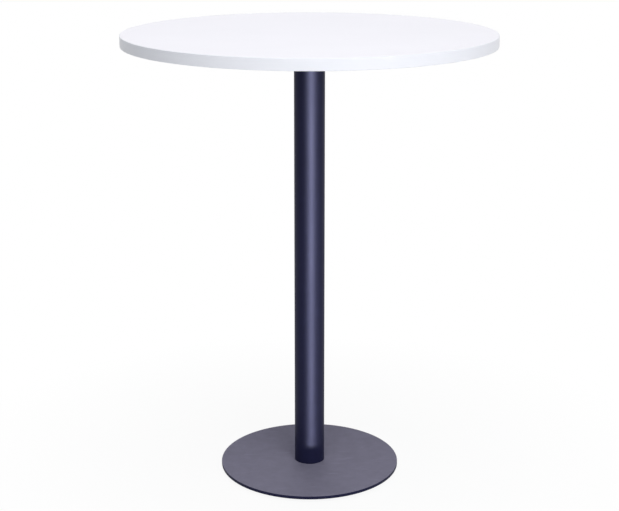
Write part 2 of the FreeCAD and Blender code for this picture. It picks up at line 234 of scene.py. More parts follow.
# ---------------------------------------------------------------- surfaces
def rounded(corners, closed=False):
    """Outline through corners (radius, height) or (radius, height, rounding), as an array (count, 2).

    A rounded corner becomes an arc that touches both its sides. With a and b the unit directions along the
    sides and h half the angle between them, the arc's centre is rounding / sin(h) along a + b. Its points
    are turned evenly from the one touching point to the other: (sin((1 - t) w) s + sin(t w) e) / sin(w),
    where s and e run from the centre to the touching points, w is the angle between them and t goes from 0
    to 1. One more point on each side keeps the flats flat.
    """
    steps = 6
    support_share = 0.25
    outline = []
    for index, corner in enumerate(corners):
        here = np.array(corner[:2], float)
        radius = corner[2] if len(corner) == 3 else 0.0
        if radius == 0.0:
            outline.append(here[None])
            continue
        before = np.array(corners[index - 1][:2]) - here
        after = np.array(corners[(index + 1) % len(corners)][:2]) - here
        a = before / np.linalg.norm(before)
        b = after / np.linalg.norm(after)
        half = math.acos(float(a @ b)) / 2
        centre = here + (a + b) / np.linalg.norm(a + b) * radius / math.sin(half)
        run = radius / math.tan(half)
        start = here + a * run
        end = here + b * run
        turn = math.pi - 2 * half
        t = np.linspace(0, 1, steps + 1)[:, None]
        swept = np.sin((1 - t) * turn) * (start - centre) + np.sin(t * turn) * (end - centre)
        arc = centre + swept / math.sin(turn)
        support = support_share * run
        outline.append(np.vstack([start + a * support, arc, end + b * support]))
    outline = np.vstack(outline)
    return np.vstack([outline, outline[:1]]) if closed else outline


def round_the_axis(radius, height, columns):
    """Grid about Z: point (row, column) lies at angle 2 pi column / columns, at that row's and column's
    radius and height, which broadcast over the grid."""
    angle = np.linspace(0, TAU, columns + 1)
    radius = radius + 0 * angle
    height = height + 0 * radius
    return np.stack([radius * np.cos(angle), radius * np.sin(angle), height], -1)


def turned(outline, columns):
    """Surface of revolution: every point (radius, height) of the outline goes once round Z."""
    return round_the_axis(outline[:, :1], outline[:, 1:], columns)


def thread_depth(angle, height, pitch, depth):
    """How far a thread's groove lies under its crest: with f the height in pitches less the turn made so
    far, and c the distance of f from the middle of the crest, the flank falls evenly from c = 1/16 to
    c = 3/8."""
    crest_end, flank_end = 1 / 16, 3 / 8
    f = np.mod(height / pitch - angle / TAU, 1.0)
    c = np.abs(f - 0.5)
    return depth * np.clip((c - crest_end) / (flank_end - crest_end), 0, 1)


def threaded(radius, bottom, top, pitch, columns):
    """Rows of a threaded cylinder, as (radius, height): the radius less the thread's depth, which fades out
    over the last pitch at each end."""
    rows_per_pitch = 10
    rows = max(2, int((top - bottom) / pitch * rows_per_pitch))
    height = np.linspace(bottom, top, rows)[:, None]
    angle = np.linspace(0, TAU, columns + 1)
    fade = np.clip((top - height) / pitch, 0, 1) * np.clip((height - bottom) / pitch, 0, 1)
    return radius - fade * thread_depth(angle, height, pitch, THREAD_DEPTH_IN_PITCHES * pitch), height


def hexagon_radius(width, columns):
    """Radius of a hexagon at every angle: half its width over the cosine of the angle from the middle of
    the nearest flat."""
    angle = np.linspace(0, TAU, columns + 1)
    return width / 2 / np.cos(np.mod(angle, TAU / 6) - TAU / 12)


def hexagon_rows(width, bottom, top, columns):
    """Rows up the sides of a hexagon whose corners are turned down at both ends: at each height the radius
    is the hexagon's or, if less, the chamfer cone's. The cone starts at the round end face, a little
    narrower than the flats, and rises at 30 degrees."""
    rise = math.radians(30)
    face_share = 0.97
    slope = 1 / math.tan(rise)
    face = face_share * width / 2
    corner = width / 2 / math.cos(TAU / 12)
    steps = np.linspace(0, (corner - face) / slope, 6)
    height = np.concatenate([bottom + steps, top - steps[::-1]])[:, None]
    cone = face + slope * np.minimum(height - bottom, top - height)
    return np.minimum(hexagon_radius(width, columns), cone), height


def stacked(columns, *parts):
    """Grid about Z from parts, in order: each is (radius, height), numbers or arrays with a row for every
    level."""
    angle = np.zeros(columns + 1)
    radii = [np.atleast_2d(radius) + angle for radius, height in parts]
    heights = [np.atleast_2d(height) + 0 * radius for (_, height), radius in zip(parts, radii)]
    return round_the_axis(np.vstack(radii), np.vstack(heights), columns)


def placed(grid, x=0.0, y=0.0, degrees=0.0):
    """Copy of a grid, moved and then turned about the column's axis."""
    cosine = math.cos(math.radians(degrees))
    sine = math.sin(math.radians(degrees))
    px, py = grid[..., 0] + x, grid[..., 1] + y
    return np.stack([px * cosine - py * sine, px * sine + py * cosine, grid[..., 2]], -1)


# ---------------------------------------------------------------- meshes
def grid_quads(rows, columns):
    """Corner numbers of the quads between neighbours of a grid, as an array (count, 4)."""
    first = (np.arange(rows - 1)[:, None] * columns + np.arange(columns - 1)).ravel()
    return np.stack([first, first + 1, first + columns + 1, first + columns], -1)


def make_piece(name, grids, finish, body, node):
    """Piece made of grids of points (rows, columns, 3): points that coincide are merged, which closes the
    seams and poles, and the faces are turned outwards. It rides on a body and stands for a node of the
    frame."""
    sizes = [grid.shape[0] * grid.shape[1] for grid in grids]
    firsts = np.cumsum([0] + sizes[:-1])
    points = np.concatenate([grid.reshape(-1, 3) for grid in grids])
    quads = np.concatenate([first + grid_quads(*grid.shape[:2]) for first, grid in zip(firsts, grids)])
    mesh = bpy.data.meshes.new(name)
    mesh.vertices.add(len(points))
    mesh.vertices.foreach_set("co", points.astype(np.float32).ravel())
    mesh.loops.add(quads.size)
    mesh.loops.foreach_set("vertex_index", quads.astype(np.int32).ravel())
    mesh.polygons.add(len(quads))
    mesh.polygons.foreach_set("loop_start", np.arange(0, quads.size, 4, dtype=np.int32))
    mesh.update(calc_edges=True)
    merged = bmesh.new()
    merged.from_mesh(mesh)
    bmesh.ops.remove_doubles(merged, verts=merged.verts, dist=MERGE_DISTANCE)
    bmesh.ops.recalc_face_normals(merged, faces=merged.faces)
    merged.to_mesh(mesh)
    merged.free()
    mesh.shade_smooth()
    mesh.set_sharp_from_angle(angle=CREASE_ANGLE)
    mesh.materials.append(finish)
    piece = bpy.data.objects.new(name, mesh)
    bpy.context.scene.collection.objects.link(piece)
    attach(piece, body)
    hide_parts(node)


def refinish(node, finish):
    """Gives a node of the frame a finish and leaves its mesh as it is."""
    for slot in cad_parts[node].material_slots:
        slot.material = finish


# ---------------------------------------------------------------- nodes for the finishes
def new_finish(name, **sockets):
    """Material with constants set on its Principled shader. Returns the material, its tree and the
    shader."""
    finish = bpy.data.materials.new(name)
    finish.use_nodes = True
    tree = finish.node_tree
    shader = tree.nodes["Principled BSDF"]
    for socket, value in sockets.items():
        shader.inputs[socket.replace("_", " ")].default_value = value
    return finish, tree, shader


def linear(colour):
    """Four numbers of a colour for a socket."""
    return (*colour, 1.0)


def shade(colour, factor):
    """Colour made lighter or darker."""
    return tuple(min(1.0, channel * factor) for channel in colour)


def coordinates(tree, stretch=(1.0, 1.0, 1.0)):
    """Object coordinates, stretched."""
    source = tree.nodes.new("ShaderNodeTexCoord")
    mapping = tree.nodes.new("ShaderNodeMapping")
    mapping.inputs["Scale"].default_value = stretch
    tree.links.new(source.outputs["Object"], mapping.inputs["Vector"])
    return mapping.outputs["Vector"]


def coordinate(tree, axis):
    """One Object coordinate: X, Y or Z."""
    split = tree.nodes.new("ShaderNodeSeparateXYZ")
    tree.links.new(coordinates(tree), split.inputs["Vector"])
    return split.outputs[axis]


def noise(tree, scale, detail=2.0, stretch=(1.0, 1.0, 1.0)):
    """Noise with scale features to the metre."""
    texture = tree.nodes.new("ShaderNodeTexNoise")
    texture.inputs["Scale"].default_value = scale
    texture.inputs["Detail"].default_value = detail
    tree.links.new(coordinates(tree, stretch), texture.inputs["Vector"])
    return texture.outputs["Fac"]


def cells(tree, scale, stretch=(1.0, 1.0, 1.0)):
    """Pattern with scale cells to the metre, each with a shade of its own."""
    texture = tree.nodes.new("ShaderNodeTexVoronoi")
    texture.inputs["Scale"].default_value = scale
    tree.links.new(coordinates(tree, stretch), texture.inputs["Vector"])
    return texture.outputs["Color"]


def remap(tree, value, low, high, to_low, to_high):
    """Value taken from one range to another and held there."""
    node = tree.nodes.new("ShaderNodeMapRange")
    for socket, number in (("From Min", low), ("From Max", high), ("To Min", to_low), ("To Max", to_high)):
        node.inputs[socket].default_value = number
    tree.links.new(value, node.inputs["Value"])
    return node.outputs["Result"]


def combine(tree, operation, first, second):
    """Math on two values, each a socket or a number."""
    node = tree.nodes.new("ShaderNodeMath")
    node.operation = operation
    for socket, value in zip(node.inputs, (first, second)):
        if isinstance(value, (int, float)):
            socket.default_value = value
        else:
            tree.links.new(value, socket)
    return node.outputs["Value"]


def between(tree, factor, first, second):
    """Colour between two, each a socket or a colour."""
    node = tree.nodes.new("ShaderNodeMix")
    node.data_type = "RGBA"
    tree.links.new(factor, node.inputs[0])
    for socket, colour in ((node.inputs[6], first), (node.inputs[7], second)):
        if isinstance(colour, bpy.types.NodeSocket):
            tree.links.new(colour, socket)
        else:
            socket.default_value = linear(colour)
    return node.outputs[2]


def clouded(tree, pattern, darker, lighter):
    """Colour that drifts between two with a noise's middle values."""
    return between(tree, remap(tree, pattern, 0.3, 0.7, 0.0, 1.0), darker, lighter)


def bump(tree, height, depth, under=None):
    """Relief so many metres deep, on top of another if given."""
    node = tree.nodes.new("ShaderNodeBump")
    node.inputs["Distance"].default_value = depth
    tree.links.new(height, node.inputs["Height"])
    if under is not None:
        tree.links.new(under, node.inputs["Normal"])
    return node.outputs["Normal"]


def wire(tree, shader, colour, roughness, relief):
    """Lead a finish's colour, roughness and relief to its shader."""
    for socket, value in (("Base Color", colour), ("Roughness", roughness), ("Normal", relief)):
        tree.links.new(value, shader.inputs[socket])


# ---------------------------------------------------------------- finishes
def white_laminate(settings):
    """High-pressure laminate: fine pearl texture, faint wipe marks and clouds."""
    finish, tree, shader = new_finish("white_laminate", IOR=1.5)
    pearl = noise(tree, 1400.0, 2.0)
    wipes = noise(tree, 5.0, 4.0, (1.0, 9.0, 1.0))
    clouds = noise(tree, 3.0, 3.0)
    colour = settings.laminate_colour
    tint = clouded(tree, clouds, shade(colour, 0.985), shade(colour, 1.01))
    rough = remap(tree, pearl, 0.3, 0.7, 0.36, 0.42)
    rough = combine(tree, "ADD", rough, remap(tree, wipes, 0.4, 0.7, 0.0, 0.05))
    wire(tree, shader, tint, rough, bump(tree, pearl, 0.000012))
    return finish


def white_edge_band(settings):
    """Plastic band: fine lines along its length from trimming, and the joint where its two ends meet, at
    the back."""
    finish, tree, shader = new_finish("white_edge_band", IOR=1.5)
    lines = noise(tree, 2.0, 3.0, (1.0, 1.0, 700.0))
    grain = noise(tree, 900.0, 2.0)
    across = combine(tree, "ABSOLUTE", coordinate(tree, "X"), 0.0)
    near_joint = combine(tree, "LESS_THAN", across, settings.joint_half_width)
    behind = combine(tree, "GREATER_THAN", coordinate(tree, "Y"), 0.0)
    colour = settings.band_colour
    tint = clouded(tree, lines, shade(colour, 0.985), colour)
    tint = between(tree, combine(tree, "MULTIPLY", near_joint, behind), tint, shade(colour, 0.55))
    relief = bump(tree, grain, 0.000008, bump(tree, lines, 0.000015))
    wire(tree, shader, tint, remap(tree, grain, 0.3, 0.7, 0.32, 0.40), relief)
    return finish


def backing_laminate(settings):
    """Balancing laminate under the board: matt, with a faint grey fleck."""
    finish, tree, shader = new_finish("backing_laminate", IOR=1.5)
    fleck = noise(tree, 260.0, 3.0)
    fibre = noise(tree, 40.0, 4.0, (1.0, 12.0, 1.0))
    colour = settings.backing_colour
    tint = between(tree, remap(tree, fleck, 0.35, 0.75, 0.0, 1.0), colour, shade(colour, 0.90))
    wire(tree, shader, tint, remap(tree, fibre, 0.3, 0.7, 0.52, 0.64), bump(tree, fibre, 0.00003))
    return finish


def particle_board(settings):
    """Pressed wood chips in several browns."""
    finish, tree, shader = new_finish("particle_board")
    chips = cells(tree, 420.0, (1.0, 1.0, 2.6))
    colour = settings.board_colour
    tint = between(tree, chips, shade(colour, 0.55), shade(colour, 1.35))
    wire(tree, shader, tint, remap(tree, chips, 0.0, 1.0, 0.75, 0.95), bump(tree, chips, 0.0002))
    return finish


def powder_coat(settings, name, face=None):
    """Satin powder coat: mottled by a few percent, with orange peel, lighter grit specks painted as a fine
    sparkle (painted glints) and faint rubbing. Where a face's height is given, the face carries a painted
    sheen with scuffs."""
    tinted_gloss = (0.66, 0.68, 0.95, 1.0)
    finish, tree, shader = new_finish(name, IOR=1.5, Specular_IOR_Level=0.11, Specular_Tint=tinted_gloss)
    mottle = noise(tree, 45.0, 3.0)
    grit_and_glints = noise(tree, 2600.0, 1.0)
    peel = noise(tree, 620.0, 2.0)
    rubbing = noise(tree, 14.0, 5.0, (1.0, 1.0, 0.35))
    colour = settings.colour
    tint = clouded(tree, mottle, shade(colour, 0.94), shade(colour, 1.05))
    # lighter specks where the grit peaks: painted glints for the coat's sparkle
    tint = between(tree, remap(tree, grit_and_glints, 0.66, 0.74, 0.0, 0.35), tint, shade(colour, 2.2))
    rough = remap(tree, rubbing, 0.35, 0.7, settings.roughness - 0.02, settings.roughness + 0.05)
    rough = combine(tree, "ADD", remap(tree, peel, 0.3, 0.7, -0.02, 0.03), rough)
    if face is not None:
        tint, rough = painted_sheen_and_scuffs(settings, tree, face, mottle, tint, rough)
    wire(tree, shader, tint, rough, bump(tree, grit_and_glints, 0.000012, bump(tree, peel, settings.peel_depth)))
    return finish


def painted_sheen_and_scuffs(settings, tree, face, mottle, tint, rough):
    """Colour and roughness of the coat under a painted sheen, a pale colour that stands in for the face's
    grazing reflection, with lighter scuffs of wear on it. It comes in just below the face's height and
    leaves the rest of the rim clear."""
    colour = settings.painted_sheen_colour
    start, full = face - 0.0004, face - 0.0001
    extra_roughness = 0.2
    # painted sheen: a pale colour in place of the face's grazing reflection
    sheen_tint = clouded(tree, mottle, shade(colour, 0.95), shade(colour, 1.04))
    scuffs = remap(tree, noise(tree, 16.0, 6.0, (1.0, 5.0, 1.0)), 0.60, 0.72, 0.0, 0.35)
    sheen_tint = between(tree, scuffs, sheen_tint, shade(colour, 1.35))
    # share of the painted sheen: none on the rim, all of it on the upper face
    share = remap(tree, coordinate(tree, "Z"), start, full, 0.0, 1.0)
    rough = combine(tree, "ADD", rough, combine(tree, "MULTIPLY", share, extra_roughness))
    return between(tree, share, tint, sheen_tint), rough


def zinc_plate():
    """Bright zinc: cloudy passivation and fine drawing marks."""
    finish, tree, shader = new_finish("zinc_plate", Metallic=1.0)
    clouds = noise(tree, 160.0, 4.0)
    marks = noise(tree, 2400.0, 2.0, (1.0, 1.0, 6.0))
    tint = clouded(tree, clouds, (0.50, 0.52, 0.55), (0.68, 0.69, 0.70))
    wire(tree, shader, tint, remap(tree, clouds, 0.3, 0.7, 0.26, 0.40), bump(tree, marks, 0.000008))
    return finish


def black_nylon():
    """Moulded nylon: dull black with a fine moulded grain and scuffs."""
    finish, tree, shader = new_finish("black_nylon", IOR=1.53)
    grain = noise(tree, 1800.0, 2.0)
    scuffs = noise(tree, 90.0, 5.0, (1.0, 4.0, 1.0))
    scuffed = remap(tree, scuffs, 0.55, 0.75, 0.0, 1.0)
    tint = between(tree, scuffed, (0.016, 0.016, 0.017), (0.045, 0.045, 0.046))
    wire(tree, shader, tint, remap(tree, scuffs, 0.35, 0.7, 0.45, 0.62), bump(tree, grain, 0.00002))
    return finish


def shared_finish(name, maker, *arguments):
    """Finish that several operators use, made the first time that one asks for it."""
    return bpy.data.materials.get(name) or maker(*arguments)


def coat_finish(context):
    """Powder coat of the steel."""
    return shared_finish("powder_coat", powder_coat, context.scene.pub_table_coat, "powder_coat")


def zinc_finish():
    """Zinc of the fasteners."""
    return shared_finish("zinc_plate", zinc_plate)


def make_coated(name, grids, coat, node):
    """Powder-coated piece of the table's steel."""
    make_piece(name, grids, coat, "table", node)


def make_zinc(name, grids, node, body="table"):
    """Zinc-plated piece."""
    make_piece(name, grids, zinc_finish(), body, node)


# ---------------------------------------------------------------- the top
class PUBTABLE_OT_top_face(bpy.types.Operator):
    """Make the white laminate on the top, with its thin rounded rim"""

    bl_idname = "pub_table.top_face"
    bl_label = "Top Face"

    def execute(self, context):
        settings = context.scene.pub_table_top
        low, high = level("top_laminate")
        rim = outer_radius("top_laminate")
        outline = rounded([(0, low), (rim, low), (rim, high, settings.joint_radius), (0, high)])
        face = turned(outline, columns=360)
        laminate = white_laminate(settings)
        make_piece("white_top_face", [face], laminate, "table", "top_laminate")
        return {"FINISHED"}


class PUBTABLE_OT_edge_band(bpy.types.Operator):
    """Make the plastic band round the top, with both its outer corners rounded"""

    bl_idname = "pub_table.edge_band"
    bl_label = "Edge Band"

    def execute(self, context):
        settings = context.scene.pub_table_top
        low, high = level("edge_band")
        inside = outer_radius("top_laminate")
        outside = outer_radius("edge_band")
        outline = rounded(
            [
                (inside, low),
                (outside, low, settings.arris_radius),
                (outside, high, settings.arris_radius),
                (inside, high, settings.joint_radius),
            ],
            closed=True,
        )
        band = turned(outline, columns=360)
        plastic = white_edge_band(settings)
        make_piece("rounded_edge_band", [band], plastic, "table", "edge_band")
        return {"FINISHED"}


class PUBTABLE_OT_board(bpy.types.Operator):
    """Finish the board and the laminate under it"""

    bl_idname = "pub_table.board"
    bl_label = "Board and Backing"

    def execute(self, context):
        settings = context.scene.pub_table_top
        refinish("top_board", particle_board(settings))
        refinish("backing_laminate", backing_laminate(settings))
        return {"FINISHED"}


# ---------------------------------------------------------------- column and base
class PUBTABLE_OT_column(bpy.types.Operator):
    """Make the column tube with rounded ends, and finish what centres it"""

    bl_idname = "pub_table.column"
    bl_label = "Column"

    def execute(self, context):
        rounding = context.scene.pub_table_column.end_rounding
        low, high = level("column_tube")
        outside = outer_radius("column_tube")
        bore = bore_radius("column_tube")
        middle = (low + high) / 2
        outline = rounded(
            [
                (bore, low),
                (outside, low, rounding),
                (outside, middle),
                (outside, high, rounding),
                (bore, high),
            ],
            closed=True,
        )
        coat = coat_finish(context)
        make_coated("column_post", [turned(outline, columns=192)], coat, "column_tube")
        refinish("locating_boss", coat)
        refinish("spider_spigot", coat)
        return {"FINISHED"}


def underside_quarter(settings, leveller_radius, inner, outer, bottom, ring_columns, side_rows=24, rows=10):
    """Grid of one quarter of the base's underside, round the leveller's blind hole on +X.

    The quarter's border is walked once: out along the ray at -45 degrees, round the rim, in along +45
    degrees and back round the groove. A row's points lie on the straight lines from the border to the
    hole's circle, at a share t ** 0.6 of the way, so the rows crowd towards the hole. The last rows go up
    the hole's wall and in to the middle of its end.
    """
    quarter = ring_columns // 4
    angle = np.radians(np.linspace(-45, 45, quarter + 1))
    reach = np.linspace(inner, outer, side_rows + 1)
    border_radius = np.concatenate(
        [reach[:-1], np.full(quarter, outer), reach[:0:-1], np.full(quarter, inner), [inner]]
    )
    border_angle = np.concatenate(
        [np.full(side_rows, angle[0]), angle[:-1], np.full(side_rows, angle[-1]), angle[:0:-1], [angle[0]]]
    )
    border = np.stack([border_radius * np.cos(border_angle), border_radius * np.sin(border_angle)], -1)
    away = border - (leveller_radius, 0)
    circle = away / np.linalg.norm(away, axis=1)[:, None] * settings.hole_radius + (leveller_radius, 0)
    t = np.linspace(0, 1, rows)[:, None, None] ** 0.6
    flat = border + (circle - border) * t
    inward = (leveller_radius, 0) + (circle - (leveller_radius, 0)) * np.array([1, 1, 0])[:, None, None]
    plan = np.concatenate([flat, inward])
    top = bottom + settings.hole_depth
    height = np.concatenate([np.full(rows, bottom), [bottom, top, top]])[:, None] + 0 * plan[..., 0]
    return np.concatenate([plan, height[..., None]], -1)


class PUBTABLE_OT_base(bpy.types.Operator):
    """Make the base disc with a rounded rim, the weld groove and the levellers' blind holes"""

    bl_idname = "pub_table.base"
    bl_label = "Base Disc"

    def execute(self, context):
        settings = context.scene.pub_table_base
        low, high = level("base_plate")
        rim = outer_radius("base_plate")
        hole = bore_radius("base_plate")
        groove = hole + settings.groove_leg
        columns = 360
        upper = rounded([
            (groove, low),
            (hole, low + settings.groove_leg),
            (hole, high),
            (rim, high, settings.edge_rounding),
            (rim, low, settings.edge_rounding),
        ])
        grids = [turned(upper, columns)]
        leveller_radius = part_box("leveller_pad_1")[0].x + half_width("leveller_pad_1")
        quarter = underside_quarter(settings, leveller_radius, groove, float(upper[-1, 0]), low, columns)
        grids += [placed(quarter, degrees=turn) for turn in (0, 90, 180, 270)]
        # the base's upper face carries a painted sheen with scuffs of wear
        coat = powder_coat(context.scene.pub_table_coat, "sheen_painted_powder_coat", high)
        make_coated("base_disc", grids, coat, "base_plate")
        return {"FINISHED"}


# ---------------------------------------------------------------- levellers
def pad_grid(settings, radius, height):
    """Turned pad with a lipped socket, about Z."""
    outline = rounded([
        (0, 0),
        (radius, 0, settings.pad_sole_rounding),
        (radius, height, settings.pad_rim_rounding),
        (settings.throat_radius, height),
        (settings.throat_radius, height - settings.lip),
        (settings.socket_radius, height - settings.lip),
        (settings.socket_radius, settings.sole),
        (0, settings.sole),
    ])
    return turned(outline, columns=96)


def spindle_grid(settings, bottom, top, pad_height):
    """Spindle about Z: button, neck, hexagonal collar with its corners turned down, and thread."""
    columns = 96
    button = settings.socket_radius - settings.play
    button_top = pad_height - settings.lip - settings.play
    collar_bottom = pad_height + settings.play
    collar_top = collar_bottom + settings.collar_thickness
    collar = hexagon_rows(settings.collar_width, collar_bottom, collar_top, columns)
    thread = threaded(settings.thread_radius, collar_top, top, settings.thread_pitch, columns)
    return stacked(
        columns,
        (0.0, bottom),
        (button, bottom),
        (button, button_top),
        (settings.neck_radius, button_top),
        (settings.neck_radius, collar_bottom),
        collar,
        thread,
        (0.0, top),
    )


class PUBTABLE_OT_levellers(bpy.types.Operator):
    """Make the four levellers, each a nylon pad and a threaded spindle on a body of its own"""

    bl_idname = "pub_table.levellers"
    bl_label = "Levellers"

    def execute(self, context):
        settings = context.scene.pub_table_leveller
        nylon = black_nylon()
        for node in node_names("leveller_pad_"):
            low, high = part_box(node)
            centre = (low + high) / 2
            number = node.rsplit("_", 1)[1]
            spindle_node = f"leveller_spindle_{number}"
            pad = placed(pad_grid(settings, half_width(node), high.z), centre.x, centre.y)
            make_piece(f"nylon_pad_{number}", [pad], nylon, node, node)
            bottom, top = level(spindle_node)
            spindle = placed(spindle_grid(settings, bottom, top, high.z), centre.x, centre.y)
            make_zinc(f"threaded_spindle_{number}", [spindle], spindle_node, body=spindle_node)
        return {"FINISHED"}


# ---------------------------------------------------------------- spider
def fillet_bead(settings, length, side, bottom):
    """Weld bead along +X in the corner between a flat and a wall at y = side.

    Along the bead, with u from 0 to 1, the section's leg is the weld's times the square root of
    1 - (2 u - 1) ** 8, which closes the ends. Across it, from the flat to the wall, the distance from the
    corner swells by the sine of twice the angle, and ripples by a cosine of the length run, bent into
    crescents. Nothing goes past the leg.
    """
    flat_share, swell_share, ripple_share = 0.78, 0.18, 0.05
    leg_share = 0.83
    crescent_bend = 0.0009
    along = np.linspace(0, 1, 160)[:, None]
    across = np.linspace(0, math.pi / 2, 9)
    swell = np.sin(2 * across)
    leg = settings.weld_leg * np.sqrt(np.clip(1 - np.abs(2 * along - 1) ** 8, 0, 1))
    ripple = np.cos(TAU * (along * length + crescent_bend * swell) / settings.weld_ripple)
    bulge = leg * (flat_share + swell_share * swell + ripple_share * ripple * swell) / leg_share
    x = settings.weld_start + along * length + 0 * across
    y = side + np.minimum(bulge * np.cos(across), leg)
    z = bottom + np.minimum(bulge * np.sin(across), leg)
    corner = np.stack([x[:, :1], side + 0 * x[:, :1], bottom + 0 * x[:, :1]], -1)
    return np.concatenate([corner, np.stack([x, y, z], -1), corner], 1)


def boss_bead(settings, neck, bottom, leg, recess):
    """Weld ring in the groove round the boss's neck. Its crown lies a recess above the base's underside,
    plus ripples: half their height, times a sine across the ring, times 1 plus a cosine round it that is
    bent into crescents."""
    columns = 288
    half_ripple_height = 0.00010
    crescent_bend = 1.6
    angle = np.linspace(0, TAU, columns + 1)
    t = np.linspace(0, 1, 9)[:, None]
    width = leg - recess
    ripples = round(TAU * (neck + width / 2) / settings.weld_ripple)
    across = np.sin(math.pi * t)
    ripple = half_ripple_height * across * (1 + np.cos(ripples * angle + crescent_bend * across))
    crown_radius = neck + width * t + 0 * angle
    crown_height = bottom + recess + ripple
    radius = np.vstack([crown_radius, neck + 0 * angle, neck + 0 * angle])
    height = np.vstack([crown_height, bottom + leg + 0 * angle, crown_height[0]])
    return round_the_axis(radius, height, columns)


class PUBTABLE_OT_spider(bpy.types.Operator):
    """Make the hub and the weld beads, and finish the four folded arms"""

    bl_idname = "pub_table.spider"
    bl_label = "Spider"

    def execute(self, context):
        settings = context.scene.pub_table_spider
        base = context.scene.pub_table_base
        coat = coat_finish(context)
        low, high = level("spider_hub")
        rim = outer_radius("spider_hub")
        bore = bore_radius("spider_hub")
        outline = rounded(
            [
                (bore, low),
                (rim, low, settings.hub_rounding),
                (rim, high, settings.hub_top_rounding),
                (bore, high),
            ],
            closed=True,
        )
        make_coated("spider_hub_plate", [turned(outline, columns=240)], coat, "spider_hub")
        arms = node_names("spider_arm_")
        for arm in arms:
            refinish(arm, coat)
        weld_points = node_points("weld_beads")
        on_hub = weld_points[:, 2] > (low + high) / 2
        end = float(weld_points[on_hub, 0].max())
        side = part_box(arms[0])[1].y
        bead = fillet_bead(settings, end - settings.weld_start, side, high)
        mirrored = bead * (1, -1, 1)
        beads = []
        for index in range(len(arms)):
            turn = 360 / len(arms) * index
            beads += [placed(bead, degrees=turn), placed(mirrored, degrees=turn)]
        plate_low = level("base_plate")[0]
        neck = bore_radius("base_plate") - settings.boss_clearance
        recess = float(weld_points[:, 2].min()) - plate_low
        beads.append(boss_bead(settings, neck, plate_low, base.groove_leg, recess))
        make_coated("rippled_weld_beads", beads, coat, "weld_beads")
        return {"FINISHED"}


# ---------------------------------------------------------------- screws and tie rod
def cross_recess(settings, x, y):
    """Depth of the recess at a point of the head: the deeper of two crossed slots. A slot's depth is the
    product of two even slopes, a steep one at its walls and a slanted one at its ends."""
    wall_run, end_run = 0.0002, 0.0008

    def slot(along, across):
        wall = np.clip((settings.recess_width / 2 - np.abs(across)) / wall_run + 0.5, 0, 1)
        end = np.clip((settings.recess_reach - np.abs(along)) / end_run, 0, 1)
        return wall * end

    return settings.recess_depth * np.maximum(slot(x, y), slot(y, x))


def screw_grid(settings, face, seat, end, head):
    """Chipboard screw about Z, head down: a domed head with a cross recess, and a coarse thread that
    tapers to a point.

    The dome's surface rises with the square of the radius, and the recess is cut into it upwards.
    """
    columns = 96
    edge_width, edge_height, dome_share = 0.0004, 0.0003, 0.75
    point_length, tip_share = 0.005, 0.02
    angle = np.linspace(0, TAU, columns + 1)
    radius = np.linspace(0, 1, 30)[:, None] * (head - edge_width)
    dome = (radius / head) ** 2 * (seat - face) * dome_share
    recess = cross_recess(settings, radius * np.cos(angle), radius * np.sin(angle))
    rim_height = face + float(dome[-1, 0])
    thread_radius, thread_height = threaded(settings.screw_radius, seat, end, settings.screw_pitch, columns)
    point = np.clip((end - thread_height) / point_length, tip_share, 1)
    return stacked(
        columns,
        (radius, face + dome + recess),
        (head, rim_height + edge_height),
        (head, seat),
        (settings.screw_radius, seat),
        (thread_radius * point, thread_height),
        (0.0, end),
    )


class PUBTABLE_OT_screws(bpy.types.Operator):
    """Make the eight screws between the arms and the top, with cross recesses and threads"""

    bl_idname = "pub_table.screws"
    bl_label = "Screws"

    def execute(self, context):
        settings = context.scene.pub_table_fixing
        low, high = level("fixing_screws")
        seat = low + settings.screw_head_height
        points = node_points("fixing_screws")
        arm_half_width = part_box("spider_arm_1")[1].y
        on_first_arm = (np.abs(points[:, 1]) < arm_half_width) & (points[:, 0] > 0)
        reach = np.sort(np.hypot(*points[on_first_arm, :2].T))
        split = int(np.argmax(np.diff(reach))) + 1
        inner, outer = reach[:split], reach[split:]
        centres = [float(ring[0] + ring[-1]) / 2 for ring in (inner, outer)]
        screw = screw_grid(settings, low, seat, high, float(inner[-1] - inner[0]) / 2)
        arms = len(node_names("spider_arm_"))
        spin_step = 37.0
        copies = []
        for number, centre in enumerate(centres):
            for index in range(arms):
                spun = placed(screw, degrees=spin_step * len(copies))
                copies.append(placed(spun, x=centre, degrees=360 / arms * index))
        make_zinc("cross_head_screws", copies, "fixing_screws")
        return {"FINISHED"}


